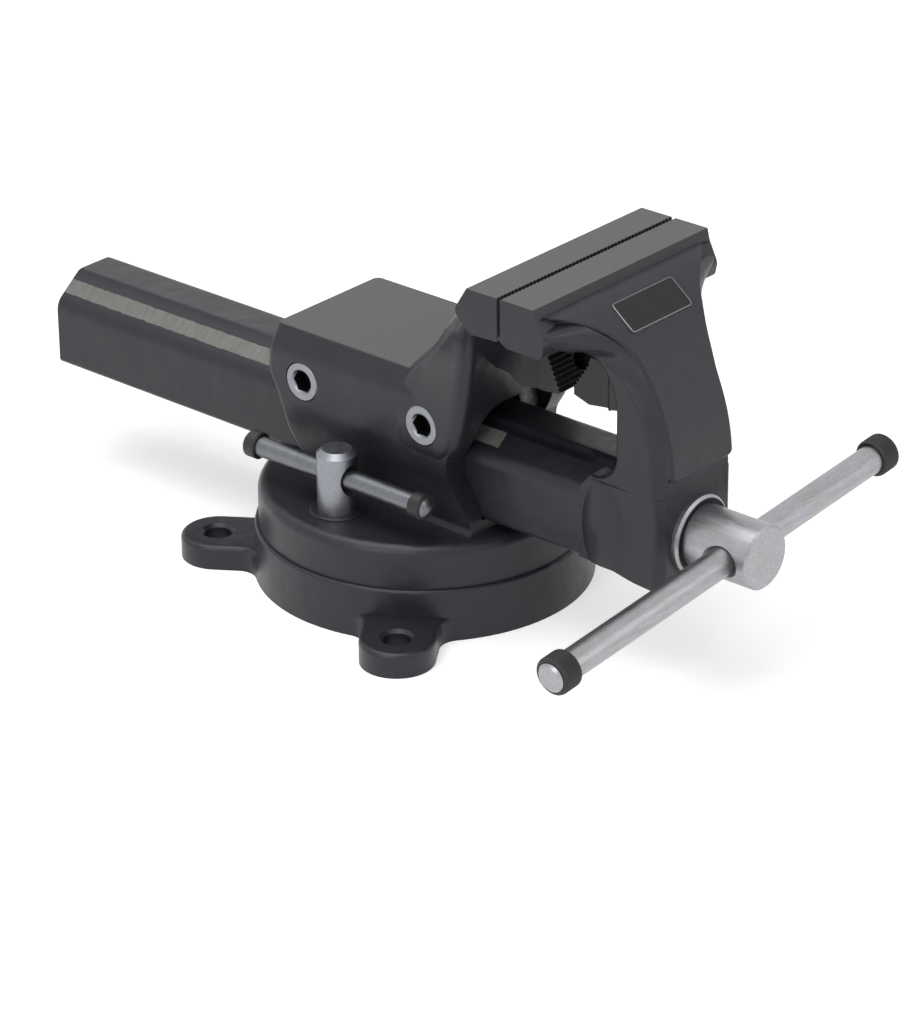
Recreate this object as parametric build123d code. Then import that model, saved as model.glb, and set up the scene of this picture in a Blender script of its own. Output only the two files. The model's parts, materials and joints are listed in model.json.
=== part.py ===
from build123d import *
import os
from math import cos, radians, sin, sqrt

# Forged bench vise on a bolt-down swivel base.
# Millimetres. The origin is on the swivel axis, in the plane that the base stands on.
# +Z is up, +Y points to the back (the tail of the slide), -Y to the operator and the
# handle, and +X is the operator's right. The jaws are drawn nearly closed.

# ---------------------------------------------------------------- driving dimensions
JAW_WIDTH = 125.0          # nominal size of the vise
JAW_TOP = 187.6            # height of the ground jaw tops
JAW_DEPTH = 21.0           # height of the gripping faces
FIXED_FACE_Y = -100.1      # gripping face of the fixed jaw
JAW_GAP = 1.9              # how far the jaws stand open as drawn

BASE_R = 82.9              # base ring at the bench
BASE_H = 26.2              # top of the base, where the head turns on it
DISC_R = 80.0              # turntable disc of the head
DISC_TOP = 48.0
LUG_RADIUS = 101.6         # bench bolt circle, half of its diameter
LUG_END_R = 18.0
LUG_H = 12.3
LUG_ANGLES = (124.1, 214.1, 349.1)    # degrees from +X
BENCH_BOLT_R = 6.75        # for M12 bolts

SCREW_Z = 68.9             # axis of the main screw
SCREW_R = 12.0             # 24 mm trapezoidal thread, 5 mm pitch
RUN_FIT = 0.05             # radial clearance of everything that turns or slides

SLIDE_HALF = 27.1          # slide of the moving jaw
SLIDE_BOTTOM = 52.5
SLIDE_TOP = 98.5
SLIDE_TOP_HALF = 10.5
SHOULDER_Z = 85.4          # where the sloping shoulder would meet the slide's side
SLIDE_TAIL_Y = 221.6
CHANNEL_R = 15.0           # channel for the screw, open along the slide's underside

ANVIL_TOP = 123.0
ANVIL_HALF = 36.0
BODY_REAR_Y = 61.0
TUNNEL_HALF = 27.4
TUNNEL_TOP = 108.5
TUNNEL_FLOOR = 52.3

HUB_FRONT_Y = -166.3
HUB_REAR_Y = -118.0
HUB_BOTTOM = 47.8
ARM_HALF = 27.0
ARM_REAR_Y = -139.5
THROAT_ROOF_Z = 164.9
THROAT_EDGE_R = 2.0
PANEL_BOTTOM = 101.5
PANEL_HALF = 22.5

HEAD_R = 15.5              # head of the main screw
HEAD_FRONT_Y = -205.6
BAR_Y = -190.9             # hole for the handle bar
BAR_R = 7.0
BAR_LENGTH = 248.0
BAR_TILT = 4.84            # degrees from level
BAR_OFFSET = -11.4         # how far the bar is pushed through
BAR_RING_R = 9.2
BAR_RING_L = 11.0

CLAMP_X, CLAMP_Y = -55.2, 5.5    # swivel clamp screw
CLAMP_HEAD_R = 9.8
CLAMP_HEAD_TOP = 80.0
CLAMP_SHANK_R = 8.0
CLAMP_BAR_Z = 66.0
CLAMP_BAR_R = 5.0
CLAMP_BAR_LENGTH = 116.0
CLAMP_RING_R = 6.6
CLAMP_RING_L = 7.0

# guide set screws: place, y, and how far out the screw's face stands
GUIDES = (("front", -35.8, 41.9), ("rear", 40.6, 41.0))
GUIDE_Z = 98.8
GUIDE_R = 10.0             # M20
GUIDE_HEX = 10.0

GROOVE_PITCH = 2.5         # upright grooves in the gripping faces
GROOVE_DEPTH = 0.7

OUT = "parts"
os.makedirs(OUT, exist_ok=True)
nodes = {}


# ---------------------------------------------------------------- helpers
def rounded(*corners):
    """Closed outline through (u, v) or (u, v, radius) corners."""
    points = [(c[0], c[1]) for c in corners]
    radii = [c[2] if len(c) > 2 else 0 for c in corners]
    return make_face(FilletPolyline(*points, radius=radii, close=True))


def mirrored(*corners):
    """Outline made symmetric about u = 0 from its right half, bottom first."""
    left = [(-c[0], *c[1:]) for c in reversed(corners)]
    return rounded(*corners, *left)


def along_x(face, half_width):
    """Carry a (Y, Z) outline to both sides of the vise's middle plane."""
    return extrude(Plane.YZ * face, half_width, both=True)


def along_y(face, y0, y1):
    """Carry an (X, Z) outline from y0 to y1."""
    return extrude(Plane((0, y1, 0), x_dir=(1, 0, 0), z_dir=(0, -1, 0)) * face, y1 - y0)


def rod(start, end, radius):
    """Round bar between two points."""
    line = Vector(*end) - Vector(*start)
    plane = Plane(Vector(*start), z_dir=line.normalized())
    return plane * Cylinder(radius, line.length, align=(Align.CENTER, Align.CENTER, Align.MIN))


def tube(start, end, outer, inner):
    return rod(start, end, outer) - rod(start, end, inner)


def hexagon(across_flats):
    return RegularPolygon(across_flats / sqrt(3), 6)


def turned(profile):
    """Turn an (r, z) outline about the vertical axis."""
    return revolve(Plane.XZ * profile, Axis.Z)


def at(x, y, z=0.0):
    return Pos(x, y, z)


def keep(name, shape):
    nodes[name] = shape
    return shape


# ---------------------------------------------------------------- swivel base
CHANNEL_FLOOR = 5.5        # ring channel that the clamp nut runs in
LIP_BOTTOM = 15.0
SLOT_HALF = 8.6
CHANNEL_HALF = 14.0
CLAMP_RADIUS = sqrt(CLAMP_X ** 2 + CLAMP_Y ** 2)
SPIGOT_R = 24.0
SPIGOT_END = 8.0
PIVOT_RECESS_R = 32.0


def lug():
    """Ear along +X with parallel flanks and hollow corners where it meets the ring."""
    root = BASE_R - 9.0
    corner = 10.0
    centre = Vector(sqrt((BASE_R + corner) ** 2 - (LUG_END_R + corner) ** 2), LUG_END_R + corner)
    on_ring = centre * (BASE_R / (BASE_R + corner))
    on_flank = Vector(centre.X, LUG_END_R)
    middle = centre + (on_ring + on_flank - centre * 2).normalized() * corner
    half = [
        Line((root, 0), (root, on_ring.Y)),
        Line((root, on_ring.Y), on_ring),
        ThreePointArc(on_ring, middle, on_flank),
        Line(on_flank, (LUG_RADIUS, LUG_END_R)),
        ThreePointArc((LUG_RADIUS, LUG_END_R),
                      (LUG_RADIUS + LUG_END_R * sqrt(0.5), LUG_END_R * sqrt(0.5)),
                      (LUG_RADIUS + LUG_END_R, 0)),
    ]
    outline = make_face(half + [mirror(edge, Plane.XZ) for edge in half])
    ear = extrude(outline, LUG_H)
    return fillet(ear.edges().group_by(Axis.Z)[-1].filter_by(
        lambda e: e.center().X > on_ring.X + 1), 2.5)


def swivel_base():
    ring = turned(rounded(
        (PIVOT_RECESS_R, 0), (BASE_R, 0), (BASE_R - 0.9, BASE_H, 1.6),
        (SPIGOT_R + RUN_FIT, BASE_H, 0), (SPIGOT_R + RUN_FIT, SPIGOT_END + 0.2),
        (PIVOT_RECESS_R, SPIGOT_END + 0.2)))
    for angle in LUG_ANGLES:
        ring += Rot(0, 0, angle) * lug()
    channel = turned(rounded(
        (CLAMP_RADIUS - CHANNEL_HALF, CHANNEL_FLOOR), (CLAMP_RADIUS + CHANNEL_HALF, CHANNEL_FLOOR),
        (CLAMP_RADIUS + CHANNEL_HALF, LIP_BOTTOM), (CLAMP_RADIUS + SLOT_HALF, LIP_BOTTOM),
        (CLAMP_RADIUS + SLOT_HALF, BASE_H + 1), (CLAMP_RADIUS - SLOT_HALF, BASE_H + 1),
        (CLAMP_RADIUS - SLOT_HALF, LIP_BOTTOM), (CLAMP_RADIUS - CHANNEL_HALF, LIP_BOTTOM)))
    ring -= channel
    # the foot is relieved so that it stands on its rim, its lugs and its middle
    ring -= turned(rounded((44, -1), (74, -1), (74, 1.5), (44, 1.5)))
    for angle in LUG_ANGLES:
        spot = at(LUG_RADIUS * cos(radians(angle)), LUG_RADIUS * sin(radians(angle)))
        ring -= spot * Cylinder(BENCH_BOLT_R, 60)
        ring -= spot * Pos(0, 0, LUG_H) * Cone(BENCH_BOLT_R, BENCH_BOLT_R + 1.6, 1.6,
                                               align=(Align.CENTER, Align.CENTER, Align.MAX))
    return ring


# ---------------------------------------------------------------- head with the fixed jaw
PIVOT_SCREW_R = 8.0
NUT_HALF_X = 14.0
NUT_Y = (-45.0, -7.0)
NUT_SEAT_Z = 42.0
NUT_SCREW_Y = (-36.0, -16.0)
NUT_SCREW_R = 4.0
PIPE_JAW_HALF = 20.0
PIPE_SEAT_HALF = 25.0
FIXED_SEAT_Y = -78.0
PIPE_SCREW_R = 3.0          # M6
FIXED_PIPE_SCREW_Z = 137.0
MOVING_PIPE_SCREW_Z = 139.0
MOVING_SEAT_Y = ARM_REAR_Y


def housing():
    """Pedestal, slide housing and anvil: a side outline cut to a front outline."""
    side = along_x(rounded(
        (47.0, 40), (47.0, 58, 6), (54.0, 70, 6), (58.5, 88, 20), (BODY_REAR_Y + 3.0, 99, 12),
        (BODY_REAR_Y, ANVIL_TOP), (-58.0, ANVIL_TOP), (-59.0, 102, 30), (-49.5, 84, 8),
        (-49.5, 73.0, 8), (-59.5, 57, 8), (-62.5, 47, 4), (-65.0, 44), (-65.0, 40)), 60)
    above_anvil = 7.0
    front = along_y(mirrored(
        (40.5, 38), (40.5, 42.5), (36.2, 50.5, 4), (40.6, 86, 30), (41.3, 112, 12),
        (ANVIL_HALF - above_anvil * 0.48, ANVIL_TOP + above_anvil)), -80, 80)
    block = side & front
    block = fillet(block.edges().filter_by(
        lambda e: e.bounding_box().min.Y > BODY_REAR_Y - 3 and e.bounding_box().size.Z > 2), 4)
    return fillet(block.edges().filter_by(
        lambda e: e.bounding_box().min.Z > ANVIL_TOP - 0.01 and e.center().Y > -50), 1.5)


# (height, front y, front half-width, rear y, rear half-width) of the neck
NECK_SECTIONS = (
    (84.0, -50.0, 40.6, -12.0, 40.0),
    (100.0, -58.5, 43.8, -14.0, 40.6),
    (113.0, -62.3, 44.8, -16.0, 39.0),
    (128.0, -66.6, 47.5, -27.0, 38.5),
    (146.5, -72.8, 52.3, -47.3, 47.0),
    (162.8, -80.6, 58.8, -62.8, 57.5),
    (176.0, -90.0, 62.3, -73.8, 62.0),
)


def neck():
    """Loft of level sections, each with its corners rounded as in the forging."""
    front_round, rear_round = 6.0, 9.0
    return loft([Pos(0, 0, z) * mirrored(
        (front_half, front_y, front_round), (rear_half, rear_y, rear_round))
        for z, front_y, front_half, rear_y, rear_half in NECK_SECTIONS])


def grooves(face_y, into):
    """Comb of upright V grooves that is cut into a gripping face."""
    count = int(JAW_WIDTH / GROOVE_PITCH)
    first = -count * GROOVE_PITCH / 2
    comb = [(first, face_y - into)]
    for k in range(count):
        x = first + k * GROOVE_PITCH
        comb += [(x, face_y), (x + GROOVE_PITCH / 2, face_y + into * GROOVE_DEPTH)]
    comb += [(-first, face_y), (-first, face_y - into)]
    return Pos(0, 0, JAW_TOP - JAW_DEPTH - 1) * extrude(
        make_face(Polyline(*comb, close=True)), JAW_DEPTH + 2)


def fixed_jaw_bar():
    bar = along_x(rounded(
        (FIXED_FACE_Y, JAW_TOP), (FIXED_FACE_Y, JAW_TOP - JAW_DEPTH), (-84.3, 165.8, 3),
        (-74.5, 175.0, 4), (-82.2, JAW_TOP)), JAW_WIDTH / 2)
    return bar - grooves(FIXED_FACE_Y, 1)


def pipe_pad_fixed():
    """Pad on the neck that the fixed pipe jaw sits on."""
    return along_x(rounded(
        (FIXED_SEAT_Y, 150), (FIXED_SEAT_Y, 129.2), (-76, 131.2, 1), (-72, 131.9),
        (-60, 131.9), (-60, 152)), PIPE_SEAT_HALF)


def slide_outline(grow=0.0):
    return mirrored(
        (SLIDE_HALF + grow, SLIDE_BOTTOM - grow, 2.5), (SLIDE_HALF + grow, SHOULDER_Z + grow, 9),
        (SLIDE_TOP_HALF, SLIDE_TOP + grow, 6))


def tunnel():
    return along_y(mirrored(
        (TUNNEL_HALF, TUNNEL_FLOOR), (TUNNEL_HALF, TUNNEL_TOP, 14)), -100, 90)


def fixed_jaw_body():
    disc = turned(rounded(
        (0, SPIGOT_END), (SPIGOT_R, SPIGOT_END), (SPIGOT_R, BASE_H), (DISC_R, BASE_H),
        (DISC_R, DISC_TOP - 0.3, 5), (DISC_R - 30, DISC_TOP), (0, DISC_TOP)))
    boss = at(CLAMP_X, CLAMP_Y, DISC_TOP - 2) * Cylinder(
        13.5, 2.8, align=(Align.CENTER, Align.CENTER, Align.MIN))
    boss = fillet(boss.edges().group_by(Axis.Z)[-1], 0.7)
    body = disc + housing() + neck() + fixed_jaw_bar() + pipe_pad_fixed() + boss
    body -= tunnel()
    # clamp screw hole
    body -= rod((CLAMP_X, CLAMP_Y, 20), (CLAMP_X, CLAMP_Y, 60), CLAMP_SHANK_R + RUN_FIT)
    # guide screw holes
    for side in (-1, 1):
        for _, y, _ in GUIDES:
            body -= rod((side * 20, y, GUIDE_Z), (side * 50, y, GUIDE_Z), GUIDE_R)
    # seat and screw holes of the spindle nut
    body -= Pos(0, (NUT_Y[0] + NUT_Y[1]) / 2, NUT_SEAT_Z) * Box(
        2 * NUT_HALF_X, NUT_Y[1] - NUT_Y[0], 20, align=(Align.CENTER, Align.CENTER, Align.MIN))
    for y in NUT_SCREW_Y:
        body -= rod((0, y, 0), (0, y, 60), NUT_SCREW_R + 0.2)
        body -= rod((0, y, 0), (0, y, BASE_H + 8), 7.2)
    # blind thread of the pivot screw
    body -= rod((0, 0, 0), (0, 0, 38), PIVOT_SCREW_R)
    # thread of the pipe jaw screw
    body -= rod((0, FIXED_SEAT_Y - 5, FIXED_PIPE_SCREW_Z), (0, -60, FIXED_PIPE_SCREW_Z),
                PIPE_SCREW_R)
    return body


keep("swivel_base", swivel_base())
keep("fixed_jaw_body", fixed_jaw_body())


def pivot_washer():
    return tube((0, 0, 3.0), (0, 0, SPIGOT_END), PIVOT_RECESS_R - 2, PIVOT_SCREW_R + 0.3)


def pivot_screw():
    head_bottom = 0.6
    screw = rod((0, 0, 3.0), (0, 0, 36), PIVOT_SCREW_R)
    head = rod((0, 0, head_bottom), (0, 0, 3.0), 14)
    socket = extrude(Pos(0, 0, head_bottom - 1) * hexagon(10), 8)
    return screw + head - socket


keep("pivot_washer", pivot_washer())
keep("pivot_screw", pivot_screw())


# ---------------------------------------------------------------- swivel clamp
def clamp_screw():
    """Cross-drilled head on a threaded shank that pulls the nut up in the ring channel."""
    foot = DISC_TOP + 0.8
    head = at(CLAMP_X, CLAMP_Y) * turned(rounded(
        (0, foot), (CLAMP_HEAD_R, foot), (CLAMP_HEAD_R, CLAMP_HEAD_TOP - 2.6),
        (CLAMP_HEAD_R - 2.6, CLAMP_HEAD_TOP), (0, CLAMP_HEAD_TOP)))
    shank = rod((CLAMP_X, CLAMP_Y, 8.0), (CLAMP_X, CLAMP_Y, foot), CLAMP_SHANK_R)
    hole_r = CLAMP_BAR_R + RUN_FIT
    cross = rod((CLAMP_X, CLAMP_Y - 20, CLAMP_BAR_Z), (CLAMP_X, CLAMP_Y + 20, CLAMP_BAR_Z), hole_r)
    screw = head + shank - cross
    for side in (-1, 1):
        mouth = Plane((CLAMP_X, CLAMP_Y + side * (CLAMP_HEAD_R - 3.2), CLAMP_BAR_Z), z_dir=(0, side, 0))
        screw -= mouth * Cone(hole_r, hole_r + 3.4, 3.4, align=(Align.CENTER, Align.CENTER, Align.MIN))
    return screw


def clamp_nut():
    """T-nut that rides in the ring channel; its flanks follow the ring."""
    def sector(half, z0, z1):
        band = turned(rounded((CLAMP_RADIUS - half, z0), (CLAMP_RADIUS + half, z0),
                              (CLAMP_RADIUS + half, z1), (CLAMP_RADIUS - half, z1)))
        wedge = at(CLAMP_X, CLAMP_Y, z0 - 1) * Rot(0, 0, -5.7) * Box(
            60, 30, z1 - z0 + 2, align=(Align.CENTER, Align.CENTER, Align.MIN))
        return band & wedge
    nut = sector(CHANNEL_HALF - 0.4, 7.0, LIP_BOTTOM) + sector(SLOT_HALF - 0.3, LIP_BOTTOM, 22.0)
    return nut - rod((CLAMP_X, CLAMP_Y, 0), (CLAMP_X, CLAMP_Y, 30), CLAMP_SHANK_R + RUN_FIT)


def clamp_bar():
    """Round bar with domed ends, turned in one piece."""
    half = CLAMP_BAR_LENGTH / 2
    dome = 2.0
    dome_r = (CLAMP_BAR_R ** 2 + dome ** 2) / (2 * dome)
    mid_r = CLAMP_BAR_R / 2
    mid = half - dome_r + sqrt(dome_r ** 2 - mid_r ** 2)
    profile = make_face([
        Line((0, -half), (0, half)),
        ThreePointArc((0, half), (mid_r, mid), (CLAMP_BAR_R, half - dome)),
        Line((CLAMP_BAR_R, half - dome), (CLAMP_BAR_R, dome - half)),
        ThreePointArc((CLAMP_BAR_R, dome - half), (mid_r, -mid), (0, -half)),
    ])
    return Pos(CLAMP_X, CLAMP_Y, CLAMP_BAR_Z) * Rot(90, 0, 0) * turned(profile)


def clamp_ring(side):
    outer = CLAMP_Y + side * (CLAMP_BAR_LENGTH / 2 - 2.2)
    inner = outer - side * CLAMP_RING_L
    ring = tube((CLAMP_X, inner, CLAMP_BAR_Z), (CLAMP_X, outer, CLAMP_BAR_Z),
                CLAMP_RING_R, CLAMP_BAR_R)
    rims = ring.edges().filter_by(GeomType.CIRCLE).filter_by(
        lambda e: e.radius > CLAMP_BAR_R + 0.5)
    return chamfer(rims, 0.7)


keep("clamp_screw", clamp_screw())
keep("clamp_nut", clamp_nut())
keep("clamp_bar", clamp_bar())
keep("clamp_bar_ring_front", clamp_ring(-1))
keep("clamp_bar_ring_rear", clamp_ring(1))


# ---------------------------------------------------------------- guide screws and shoes
DOG_R = 5.0
DOG_END_X = 22.6


def guide_screw(side, y, face_x):
    """Set screw with a hexagon socket and a dog point."""
    inner_x = TUNNEL_HALF + 0.1
    screw = rod((side * inner_x, y, GUIDE_Z), (side * face_x, y, GUIDE_Z), GUIDE_R)
    outer_rim = screw.edges().filter_by(GeomType.CIRCLE).filter_by(
        lambda e: abs(e.arc_center.X) > face_x - 0.1)
    screw = chamfer(outer_rim, 0.7)
    screw += rod((side * DOG_END_X, y, GUIDE_Z), (side * (inner_x + 1), y, GUIDE_Z), DOG_R)
    mouth = Plane((side * face_x, y, GUIDE_Z), x_dir=(0, 1, 0), z_dir=(-side, 0, 0))
    screw -= extrude(mouth * hexagon(GUIDE_HEX), 8)
    flare_r, flare = GUIDE_HEX * 0.62, 1.4
    return screw - mouth * Cone(flare_r, flare_r - flare, flare,
                                align=(Align.CENTER, Align.CENTER, Align.MIN))


def guide_shoe(side, y):
    """Wedge between the screw and the sloping shoulder of the slide."""
    lift = 0.06
    slope = (SLIDE_TOP - SHOULDER_Z) / (SLIDE_HALF - SLIDE_TOP_HALF)
    low_x, high_x = 24.0, 15.3
    low_z = SHOULDER_Z + slope * (SLIDE_HALF - low_x) + lift
    high_z = SHOULDER_Z + slope * (SLIDE_HALF - high_x) + lift
    outline = rounded((low_x, low_z), (high_x, high_z), (13.4, 99.0, 1), (15.5, 104.0, 1),
                      (21.5, 104.0, 1), (25.0, 101.0, 1), (27.2, 96.0, 1), (27.2, 90.6, 1))
    shoe = along_y(outline, y - 13, y + 13)
    shoe -= rod((DOG_END_X - 0.4, y, GUIDE_Z), (30, y, GUIDE_Z), DOG_R + 0.15)
    return shoe if side > 0 else mirror(shoe, Plane.YZ)


for side, side_name in ((-1, "left"), (1, "right")):
    for place, y, face_x in GUIDES:
        keep(f"guide_screw_{side_name}_{place}", guide_screw(side, y, face_x))
        keep(f"guide_shoe_{side_name}_{place}", guide_shoe(side, y))


# ---------------------------------------------------------------- spindle nut
def spindle_nut():
    """Post that stands on the turntable and reaches up into the slide's channel."""
    y0, y1 = NUT_Y
    top = SCREW_Z + NUT_HALF_X
    block = along_y(mirrored((NUT_HALF_X, NUT_SEAT_Z), (NUT_HALF_X, top, 12.5)), y0, y1)
    nut = block - rod((0, y0 - 1, SCREW_Z), (0, y1 + 1, SCREW_Z), SCREW_R + RUN_FIT)
    for y in NUT_SCREW_Y:
        nut -= rod((0, y, NUT_SEAT_Z - 1), (0, y, 55.0), NUT_SCREW_R)
    return nut


def nut_screws():
    """Two socket screws that hold the nut from below."""
    group = []
    for y in NUT_SCREW_Y:
        screw = rod((0, y, BASE_H + 8), (0, y, 54.0), NUT_SCREW_R)
        screw += rod((0, y, BASE_H + 0.6), (0, y, BASE_H + 8), 6.6)
        screw -= extrude(Pos(0, y, BASE_H) * hexagon(6), 5)
        group.append(screw)
    return Compound(group)


keep("spindle_nut", spindle_nut())
keep("nut_screws", nut_screws())


# ---------------------------------------------------------------- moving jaw
# front of the arm's panel in the middle of the vise, (y, z) from the jaw down
PANEL_CURVE = ((-121.5, 183.0), (-126.5, 181.6), (-131.3, 179.2), (-138.5, 174.0),
               (-145.6, 167.5), (-152.8, 156.5), (-160.2, 140.5), (-165.9, 125.0),
               (-168.9, 110.0), (-169.5, PANEL_BOTTOM))
# the panel's edge, (half-width, z) from the bottom up
PANEL_EDGE = ((PANEL_HALF, 140.0), (23.6, 150.0), (25.8, 160.0), (28.2, 165.0), (37.6, 174.5),
              (44.8, 178.3), (55.0, 181.8), (JAW_WIDTH / 2, 182.7))
# the arm: (height, front half-width, front y, side half-width, y where the side begins)
ARM_SECTIONS = (
    (89.0, 22.4, -166.3, 27.0, -163.0),
    (94.0, 22.4, -166.3, 27.0, -162.3),
    (101.0, 22.2, -166.3, 27.0, -160.9),
    (112.0, 22.2, -166.0, 27.0, -159.6),
    (127.7, 22.4, -162.5, 27.0, -156.7),
    (140.0, 22.4, -157.8, 27.0, -149.5),
    (147.9, 23.3, -154.1, 27.1, -142.1),
    (153.0, 24.0, -151.3, 27.8, -134.0),
    (157.0, 24.8, -149.0, 30.0, -129.0),
    (161.0, 26.1, -147.0, 38.0, -126.6),
    (165.0, 28.1, -144.5, 50.0, -126.0),
    (170.0, 32.9, -139.8, 58.0, -126.0),
    (176.0, 40.4, -133.5, 61.5, -125.0),
    (182.0, 55.9, -124.5, 62.4, -122.3),
)


def front_curve(back=0.0):
    """The panel's front line, moved back by a given depth."""
    return Spline(*[(y + back, z) for y, z in PANEL_CURVE])


def throat():
    """Outline of the open throat under the jaw, from the slide up to the jaw's underside."""
    low_z, clear_y, root_r = 83.0, -60.0, 13.0
    spring_z, roof_y = 131.0, -105.5
    return make_face([
        Line((HUB_REAR_Y - 1, low_z), (HUB_REAR_Y - 1, 88)),
        Line((HUB_REAR_Y - 1, 88), (-125, SLIDE_TOP - 3)),
        RadiusArc((-125, SLIDE_TOP - 3), (ARM_REAR_Y, SLIDE_TOP + 9.5), root_r),
        Line((ARM_REAR_Y, SLIDE_TOP + 9.5), (ARM_REAR_Y, spring_z)),
        ThreePointArc((ARM_REAR_Y, spring_z), (-128.0, 155.0), (roof_y, THROAT_ROOF_Z)),
        Line((roof_y, THROAT_ROOF_Z), (clear_y, THROAT_ROOF_Z)),
        Line((clear_y, THROAT_ROOF_Z), (clear_y, low_z)),
        Line((clear_y, low_z), (HUB_REAR_Y - 1, low_z)),
    ])


def arm():
    """Swan-neck arm from the hub to the jaw: loft of level sections, less the throat."""
    front_round, side_round, back_y = 1.0, 4.0, -106.0
    blank = loft([Pos(0, 0, z) * mirrored(
        (side, back_y), (side, side_y, side_round), (front, front_y, front_round))
        for z, front, front_y, side, side_y in ARM_SECTIONS])
    body = blank - along_x(throat(), JAW_WIDTH)
    inner_edges = body.edges().filter_by(
        lambda e: e.bounding_box().size.Z > 8 and abs(e.center().X) > ARM_HALF - 2
        and e.bounding_box().min.Y > ARM_REAR_Y - 1 and 110 < e.center().Z < THROAT_ROOF_Z)
    return fillet(inner_edges, THROAT_EDGE_R)


def front_panel():
    """Raised panel on the arm, as wide as the jaw at its top."""
    start, end = PANEL_CURVE[0], PANEL_CURVE[-1]
    depth = 8.0
    side = make_face([
        front_curve(),
        Line(end, (end[0] + depth, end[1])),
        front_curve(depth),
        Line((start[0] + depth, start[1]), start),
    ])
    corner, low = 4.0, PANEL_BOTTOM
    half = [
        Line((0, low), (PANEL_HALF - corner, low)),
        ThreePointArc((PANEL_HALF - corner, low),
                      (PANEL_HALF - corner * (1 - sqrt(0.5)), low + corner * (1 - sqrt(0.5))),
                      (PANEL_HALF, low + corner)),
        Line((PANEL_HALF, low + corner), PANEL_EDGE[0]),
        Spline(*PANEL_EDGE, tangents=[(0, 1), (1, 0.05)]),
        Line(PANEL_EDGE[-1], (JAW_WIDTH / 2, JAW_TOP)),
        Line((JAW_WIDTH / 2, JAW_TOP), (0, JAW_TOP)),
    ]
    front = make_face(half + [mirror(edge, Plane.YZ) for edge in half])
    panel = along_x(side, JAW_WIDTH / 2) & along_y(front, -180, -90)
    face = panel.faces().sort_by(SortBy.AREA)[-2:].sort_by(Axis.Y)[0]
    rim = face.edges().filter_by(lambda e: e.center().Z < PANEL_EDGE[-1][1] - 0.5)
    return chamfer(rim, 1.6)


def moving_jaw_bar():
    face_y = FIXED_FACE_Y - JAW_GAP
    bar = along_x(rounded(
        (face_y, JAW_TOP), (face_y, JAW_TOP - JAW_DEPTH + 0.4), (-105.5, 164.9, 1),
        (-125.6, 164.6, 3), (-127.2, 172.0, 5), (-122.4, 182.0, 6), (-121.0, JAW_TOP)),
        JAW_WIDTH / 2)
    return bar - grooves(face_y, -1)


def hub():
    """Block that the screw passes, with a swelling on each side."""
    plan = mirrored(
        (22.5, HUB_FRONT_Y, 1), (ARM_HALF, HUB_FRONT_Y + 3, 4), (ARM_HALF, -150, 30),
        (ARM_HALF + 0.6, -136, 14), (ARM_HALF + 0.1, HUB_REAR_Y - 1))
    block = extrude(Pos(0, 0, 40) * plan, 60)
    side = along_x(rounded(
        (HUB_FRONT_Y - 1, HUB_BOTTOM), (-150, 49, 30), (-137, 52.0, 20),
        (HUB_REAR_Y - 1, SLIDE_BOTTOM), (HUB_REAR_Y - 1, 88), (-126, 94, 4),
        (HUB_FRONT_Y - 1, 94)), 40)
    swelling = Pos(0, -133, 71) * scale(Sphere(1), (ARM_HALF + 3.2, 28, 57))
    return (block + swelling) & side


def screw_channel():
    """Channel for the screw and its nut, open below and at the tail."""
    section = make_face([
        Line((-CHANNEL_R, SLIDE_BOTTOM - 2), (CHANNEL_R, SLIDE_BOTTOM - 2)),
        Line((CHANNEL_R, SLIDE_BOTTOM - 2), (CHANNEL_R, SCREW_Z)),
        ThreePointArc((CHANNEL_R, SCREW_Z), (0, SCREW_Z + CHANNEL_R), (-CHANNEL_R, SCREW_Z)),
        Line((-CHANNEL_R, SCREW_Z), (-CHANNEL_R, SLIDE_BOTTOM - 2)),
    ])
    return along_y(section, HUB_REAR_Y, SLIDE_TAIL_Y + 1)


def moving_jaw():
    slide = along_y(slide_outline(), HUB_REAR_Y - 12, SLIDE_TAIL_Y)
    jaw = slide + hub() + arm() + moving_jaw_bar() + front_panel()
    jaw -= screw_channel()
    jaw -= rod((0, HUB_REAR_Y + 1, SCREW_Z), (0, HUB_FRONT_Y - 5, SCREW_Z), SCREW_R + RUN_FIT)
    jaw -= rod((0, MOVING_SEAT_Y + 5, MOVING_PIPE_SCREW_Z),
               (0, MOVING_SEAT_Y - 13, MOVING_PIPE_SCREW_Z), PIPE_SCREW_R)
    return jaw


keep("moving_jaw", moving_jaw())


# ---------------------------------------------------------------- pipe jaws
TOOTH_DEPTH = 1.2
PIPE_SCREW_HOLE_R = 3.2
PIPE_HEAD_R = 5.0
PIPE_SCREW_SINK_R = 5.3
FIXED_PIPE_HEAD_Y = -94.5
MOVING_PIPE_HEAD_Y = -118.0
PIPE_SCREW_HEAD = 5.0


def toothed(start, end, count):
    """Saw-tooth line from start to end, with its notches to the left of it."""
    line = Vector(*end) - Vector(*start)
    step = line / count
    notch = Vector(-line.Y, line.X).normalized() * TOOTH_DEPTH
    points = []
    for k in range(count):
        tip = Vector(*start) + step * k
        bottom = tip + step * 0.5 + notch
        points += [(tip.X, tip.Y), (bottom.X, bottom.Y)]
    return points + [end]


def pipe_jaw(outline, seat_y, out, head_y, z):
    """Toothed block, wider at its seat, with a countersunk hole for its screw."""
    plan = mirrored((PIPE_JAW_HALF, seat_y + 40 * out), (PIPE_JAW_HALF, seat_y + 10 * out),
                    (PIPE_SEAT_HALF, seat_y + 5 * out), (PIPE_SEAT_HALF, seat_y - 2 * out))
    jaw = along_x(outline, PIPE_SEAT_HALF) & extrude(Pos(0, 0, 100) * plan, 80)
    front_y, head_back_y = seat_y + 40 * out, head_y - PIPE_SCREW_HEAD * out
    jaw -= rod((0, front_y, z), (0, seat_y, z), PIPE_SCREW_HOLE_R)
    return jaw - rod((0, front_y, z), (0, head_back_y, z), PIPE_SCREW_SINK_R)


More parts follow.
